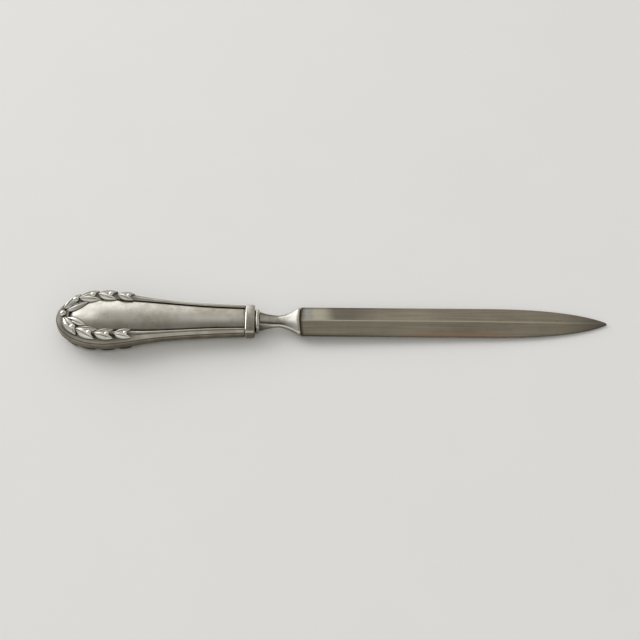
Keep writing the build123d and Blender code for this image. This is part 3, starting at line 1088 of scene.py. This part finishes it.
# Cement
# Cutler's cement, pitch with brick dust, poured hot into the hollow handle round the tang. It is out of
# sight in the finished opener.
cement_dark = (0.05, 0.032, 0.025, 1)
cement_pale = (0.13, 0.09, 0.07, 1)
cement_rough = 0.8
grit_scale = 700
grit_depth = 0.1 * mm
grit_strength = 0.5

cutlers_cement, tree, filler = new_finish("cutlers_cement")
place = add(tree, "ShaderNodeTexCoord").outputs["Object"]
grit = grain(tree, place, grit_scale)
tree.links.new(mixed(tree, grit, cement_dark, cement_pale), filler.inputs["Base Color"])
filler.inputs["Roughness"].default_value = cement_rough
bump = add(tree, "ShaderNodeBump", {"Strength": grit_strength, "Distance": grit_depth, "Height": grit})
tree.links.new(bump.outputs[0], filler.inputs["Normal"])
pitch_core = frame["nodes"]["pitch_core"]
pitch_core.data.materials.clear()
pitch_core.data.materials.append(cutlers_cement)

# Floor
# A plain pale floor, wide enough to fill every view and matt, with the faintest clouds in its colour.
floor_radius = 8
floor_sides = 48
floor_clouds = 25
floor_pale = (0.89, 0.885, 0.87, 1)
floor_paler = (0.92, 0.915, 0.9, 1)
floor_rough = 0.9
floor_gloss = 0.1

floor_rim = []
for k in range(floor_sides):
    angle = math.pi * k / (floor_sides / 2)
    floor_rim.append((floor_radius * math.cos(angle), floor_radius * math.sin(angle), 0))
floor_mesh = bpy.data.meshes.new("floor")
floor_mesh.from_pydata(floor_rim, [], [tuple(range(floor_sides))])
floor = scene_object("floor", floor_mesh)
pale_floor, tree, matt = new_finish("pale_floor")
place = add(tree, "ShaderNodeTexCoord").outputs["Object"]
colour = mixed(tree, grain(tree, place, floor_clouds), floor_pale, floor_paler)
tree.links.new(colour, matt.inputs["Base Color"])
matt.inputs["Roughness"].default_value = floor_rough
matt.inputs["Specular IOR Level"].default_value = floor_gloss
floor.data.materials.append(pale_floor)

# Light
# A soft room with a broad glow at the back left and the rest dimmer, and one window that throws the soft
# shadow. The room's ranges are of the direction's X, Y or Z, some with the strengths at their ends.
below_overhead = (0.85, 0.45)
at_back = (0.1, 0.5)
left_of_middle = (0.06, -0.08)
far_left = (-0.14, -0.28)
left_to_back = (0.15, 0.6, 0.1, 1.0)
dim_to_front = (0.75, -0.1, 0.64, 0.33)
front_lift = (-0.2, -0.6, 0.0, 0.34)
glow_strength = 1.1
warm_white = (1.0, 0.985, 0.94, 1)
cool_white = (0.98, 1.0, 1.03, 1)
window_width = 0.9
window_height = 0.6
window_energy = 6
window_place = (-1.05, 0.62, 0.55)

room = bpy.data.worlds.new("soft_room")
bpy.context.scene.world = room
room.use_nodes = True
tree = room.node_tree
way = add(tree, "ShaderNodeTexCoord").outputs["Generated"]
way_x, way_y, way_z = add(tree, "ShaderNodeSeparateXYZ", {0: way}).outputs
back_left = reckoned(tree, "MULTIPLY", between(tree, way_y, *at_back),
                     between(tree, way_x, *left_of_middle))
back_glow = reckoned(tree, "MULTIPLY", between(tree, way_z, *below_overhead), back_left)
left_glow = reckoned(tree, "MULTIPLY", between(tree, way_x, *far_left),
                     between(tree, way_y, *left_to_back))
glow = reckoned(tree, "MAXIMUM", back_glow, left_glow)
dim = reckoned(tree, "ADD", between(tree, way_y, *dim_to_front), between(tree, way_y, *front_lift))
brightness = reckoned(tree, "MULTIPLY_ADD", glow, glow_strength, dim)
background = tree.nodes["Background"]
tree.links.new(brightness, background.inputs["Strength"])
tree.links.new(mixed(tree, glow, warm_white, cool_white), background.inputs["Color"])

lamp_data = bpy.data.lights.new("window", "AREA")
lamp_data.shape = "RECTANGLE"
lamp_data.size = window_width
lamp_data.size_y = window_height
lamp_data.energy = window_energy
window = scene_object("window", lamp_data)
window.location = window_place
window.rotation_euler = (-window.location).to_track_quat("-Z", "Y").to_euler()

# Camera
# It looks down across the opener as the photograph does, with the opener lying level in the picture.
elevation = math.radians(52)
swing = math.radians(0.25)
roll = math.radians(-0.17)
distance = 424.4 * mm
aim = Vector((-3.87 * mm, 0.34 * mm, 3.0 * mm))
sensor_width = 36
lens = 77.3

level = math.cos(elevation)
sight = Vector((math.sin(swing) * level, math.cos(swing) * level, -math.sin(elevation)))
camera_data = bpy.data.cameras.new("camera")
camera_data.sensor_width = sensor_width
camera_data.lens = lens
camera = scene_object("camera", camera_data)
camera.location = aim - sight * distance
camera.rotation_euler = (sight.to_track_quat("-Z", "Y") @ Quaternion((0, 0, 1), roll)).to_euler()
bpy.context.scene.camera = camera
bpy.context.scene.view_settings.view_transform = "Standard"
